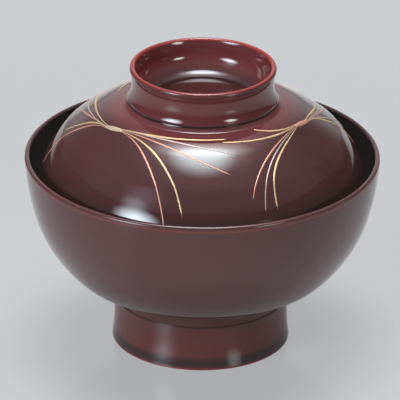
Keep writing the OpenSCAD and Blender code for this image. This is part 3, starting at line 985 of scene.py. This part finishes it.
@dataclass
class Studio:
    """Pale floor, soft light and the camera, sizes in mm and turns in degrees."""

    glows: tuple[Glow, ...] = (
        Glow(180.0, 83.9, 17.5, 13.6, 0.4, 12.5, (0.80, 1.0, 1.03)),
        Glow(180.0, 78.3, 25.0, 17.0, 0.2, 8.0, (1.0, 0.93, 0.96)),
        Glow(180.0, 71.0, 35.0, 31.0, 0.1, 1.5, (1.06, 0.86, 0.92)),
        Glow(-48.5, 22.0, 20.0, 11.5, 0.0, 26.0, (0.82, 0.95, 1.05), 1.3),
        Glow(-55.0, 33.5, 13.0, 8.5, 0.0, 3.5, (0.88, 0.95, 1.02)),
        Glow(-53.0, 42.0, 18.0, 17.0, 0.0, 1.2, (0.85, 0.9, 1.1)),
        Glow(44.0, 16.5, 13.0, 7.0, 0.2, 15.0, (1.0, 1.0, 1.0)),
    )
    canopy: tuple[tuple[float, float], ...] = ((0.0, 3.0), (0.13, 5.0), (0.32, 20.0), (0.55, 26.0),
                                               (0.84, 31.0), (1.0, 37.0))
    canopy_strength: float = 0.38
    room_strength: float = 0.16
    sides_dimmed: float = 0.55
    behind_strength: float = 0.35
    floor_radius: float = 1500.0
    sheet_glow: float = 0.56
    sheet_glow_mirrored: float = 0.33
    camera_distance: float = 2081.3
    camera_elevation: float = 24.77
    camera_target: float = 45.0
    camera_roll: float = 0.583
    focal_share: float = 6093.25 / 400
    sensor: float = 36.0
    aim_pixel: tuple[float, float] = (201.668, 213.26)
    frame_pixels: float = 400.0

    def add_camera(self) -> bpy.types.Object:
        """The camera at the photograph's view."""
        e = math.radians(self.camera_elevation)
        view = Vector((0.0, -math.cos(e), math.sin(e)))
        right, up = Vector((1.0, 0.0, 0.0)), Vector((0.0, math.sin(e), math.cos(e)))
        target = Vector((0.0, 0.0, self.camera_target))
        place = target + view * self.camera_distance
        s, c = math.sin(math.radians(self.camera_roll)), math.cos(math.radians(self.camera_roll))
        off_x = (self.frame_pixels / 2 - self.aim_pixel[0]) / (self.focal_share * self.frame_pixels)
        off_y = (self.aim_pixel[1] - self.frame_pixels / 2) / (self.focal_share * self.frame_pixels)
        aim = target + (right * (c * off_x - s * off_y) + up * (s * off_x + c * off_y)) * self.camera_distance
        back = (place - aim).normalized()
        rolled = (right * c + up * s)
        across = (rolled - back * rolled.dot(back)).normalized()
        camera = bpy.data.objects.new("camera", bpy.data.cameras.new("camera"))
        camera.data.sensor_width = self.sensor
        camera.data.lens = self.focal_share * self.sensor
        camera.data.clip_end = 100.0
        camera.matrix_world = Matrix((across, back.cross(across), back)).transposed().to_4x4()
        camera.location = place * MM
        bpy.context.scene.collection.objects.link(camera)
        bpy.context.scene.camera = camera
        return camera

    def add_floor(self) -> bpy.types.Object:
        """A pale, slightly glossy floor."""
        rings, segments = (0.0, 150.0, 600.0, self.floor_radius), 96
        verts = [(0.0, 0.0, 0.0)]
        faces = []
        for r in rings[1:]:
            verts += [(r * MM * math.cos(math.tau * k / segments), r * MM * math.sin(math.tau * k / segments),
                       0.0) for k in range(segments)]
        for k in range(segments):
            n = (k + 1) % segments
            faces.append((0, 1 + k, 1 + n))
            for i in range(len(rings) - 2):
                a, b = 1 + i * segments, 1 + (i + 1) * segments
                faces.append((a + k, b + k, b + n, a + n))
        mesh = bpy.data.meshes.new("studio_floor")
        mesh.from_pydata(verts, [], faces)
        mesh.update()
        floor = bpy.data.objects.new("studio_floor", mesh)
        bpy.context.scene.collection.objects.link(floor)
        made, w, shader = new_material("floor_sheet")
        place = w.node("TexCoord").outputs["Object"]
        soft = w.noise(place, 3.0, 2.0)
        path = w.node("LightPath")
        sheet = w.blend(soft, linear((0.74, 0.74, 0.75)), linear((0.76, 0.76, 0.77)))
        sheet = w.blend(path.outputs["Is Glossy Ray"], sheet, linear((0.60, 0.60, 0.60)))
        w.feed(shader.inputs["Base Color"],
               w.blend(path.outputs["Is Camera Ray"], sheet, linear((0.43, 0.43, 0.43))))
        shader.inputs["Emission Color"].default_value = linear((0.80, 0.805, 0.815))
        glow = w.math("MULTIPLY", path.outputs["Is Glossy Ray"], self.sheet_glow_mirrored)
        depth = w.node("SeparateXYZ")
        w.feed(depth.inputs[0], place)
        seen = w.fade(depth.outputs[1], 0.02, 0.2, self.sheet_glow, self.sheet_glow - 0.05)
        glow = w.math("MULTIPLY_ADD", path.outputs["Is Camera Ray"], seen, glow)
        w.feed(shader.inputs["Emission Strength"], glow)
        shader.inputs["Roughness"].default_value = 0.14
        shader.inputs["IOR"].default_value = 1.28
        floor.data.materials.append(made)
        return floor

    def add_sky(self) -> None:
        """The light all round: a canopy of pale sheet with soft glows, and a plain pale backdrop."""
        world = bpy.data.worlds.new("studio_sky")
        bpy.context.scene.world = world
        world.use_nodes = True
        tree = world.node_tree
        w = Wiring(tree)
        background = tree.nodes["Background"]
        direction = w.node("TexCoord").outputs["Generated"]
        path = w.node("LightPath")
        matt = w.math("SUBTRACT", w.math("SUBTRACT", 1.0, path.outputs["Is Glossy Ray"]), path.outputs["Is Camera Ray"])
        axes = w.node("SeparateXYZ")
        w.feed(axes.inputs[0], direction)
        level = w.math("SQRT", w.math("ADD", w.math("MULTIPLY", axes.outputs[0], axes.outputs[0]),
                                      w.math("MULTIPLY", axes.outputs[1], axes.outputs[1])))
        front = w.math("MULTIPLY_ADD", w.math("DIVIDE", axes.outputs[1], w.math("MAXIMUM", level, 0.001)), -0.5, 0.5)
        rise = w.math("ARCTAN2", axes.outputs[2], level)
        ramp = w.node("ValToRGB")
        ramp.color_ramp.elements.remove(ramp.color_ramp.elements[1])
        for i, (share, elevation) in enumerate(self.canopy):
            stop = ramp.color_ramp.elements[0] if i == 0 else ramp.color_ramp.elements.new(share)
            stop.position = share
            value = elevation / 90.0
            stop.color = (value, value, value, 1.0)
        w.feed(ramp.inputs[0], front)
        above = w.math("SUBTRACT", w.math("MULTIPLY", rise, 2 / math.pi), ramp.outputs[0])
        canopy = w.fade(above, -0.004, 0.012, self.room_strength, self.canopy_strength)
        canopy = w.math("ADD", canopy, w.fade(rise, 0.9, 1.5, 0.0, 0.25))
        beside = w.math("MULTIPLY", w.fade(front, 0.03, 0.1, 0.0, 1.0), w.fade(front, 0.25, 0.45, 1.0, 0.0))
        dim = w.math("MULTIPLY", beside, w.fade(rise, 0.5, 0.9, self.sides_dimmed, 0.0))
        canopy = w.math("MULTIPLY", canopy, w.math("SUBTRACT", 1.0, dim))
        behind = w.fade(front, 0.02, 0.08, self.behind_strength, 0.0)
        total = w.math("ADD", canopy, w.math("MULTIPLY", behind, w.fade(rise, 0.35, 0.8, 1.0, 0.0)))
        scaled = w.node("VectorMath", operation="SCALE")
        scaled.inputs[0].default_value = (0.96, 0.98, 1.0)
        w.feed(scaled.inputs["Scale"], total)
        light = scaled.outputs[0]
        for glow in self.glows:
            parts = []
            for axis in glow.axes:
                dot = w.node("VectorMath", operation="DOT_PRODUCT")
                w.feed(dot.inputs[0], direction)
                dot.inputs[1].default_value = axis
                parts.append(dot.outputs["Value"])
            near = w.math("MAXIMUM", parts[0], 0.001)
            across = w.math("DIVIDE", parts[1], w.math("MULTIPLY", near, math.tan(math.radians(glow.half_width))))
            up = w.math("DIVIDE", parts[2], w.math("MULTIPLY", near, math.tan(math.radians(glow.half_height))))
            off = w.math("SQRT", w.math("ADD", w.math("MULTIPLY", across, across), w.math("MULTIPLY", up, up)))
            power = w.math("MULTIPLY", w.fade(off, glow.core, 1.0, glow.strength, 0.0),
                           w.math("MULTIPLY_ADD", matt, glow.thrown - 1.0, 1.0))
            part = w.node("VectorMath", operation="SCALE")
            part.inputs[0].default_value = glow.colour
            w.feed(part.inputs["Scale"], power)
            sum_ = w.node("VectorMath", operation="ADD")
            w.feed(sum_.inputs[0], light)
            w.feed(sum_.inputs[1], part.outputs[0])
            light = sum_.outputs[0]
        w.feed(background.inputs["Color"],
               w.blend(path.outputs["Is Camera Ray"], light, linear((0.78, 0.79, 0.80))))
        background.inputs["Strength"].default_value = 1.0

    def build(self) -> None:
        """Sets up the camera, the floor and the light."""
        self.add_camera()
        self.add_floor()
        self.add_sky()
        scene = bpy.context.scene
        scene.view_settings.view_transform = "Standard"


def main() -> None:
    """Builds the studio, the bowl, the lid and its three sprays, in this order."""
    logging.basicConfig(level=logging.INFO, format="%(message)s")
    Studio().build()
    black = Lacquer("black_lacquer", (0.25, 0.245, 0.24), (0.28, 0.275, 0.27), 0.06,
                    lines=0.3).material()
    powders = {metal: powder.material() for metal, powder in POWDERS.items()}
    bowl = Bowl()
    lid = Lid(bowl)
    sprays = (
        Spray("left", lid, -60.0, 1, (0.255, 0.315), LEFT_FRONT, LEFT_FAR, Metal.PALE_GOLD, "pale_gold_powder"),
        Spray("right", lid, 73.0, -1, (0.275, 0.335), RIGHT_FRONT, RIGHT_FAR, Metal.RED_GOLD, "red_gold_powder"),
        Spray("back", lid, 187.0, 1, (0.27, 0.335), RIGHT_FRONT, LEFT_FAR, Metal.SILVER, "silver_powder"),
    )
    pieces = bowl.build(black) + lid.build(black)
    for spray in sprays:
        pieces += spray.build(powders)
    for piece in pieces:
        LOG.info("%s: %d faces", piece.name, len(piece.data.polygons))


if __name__ == "__main__":
    main()
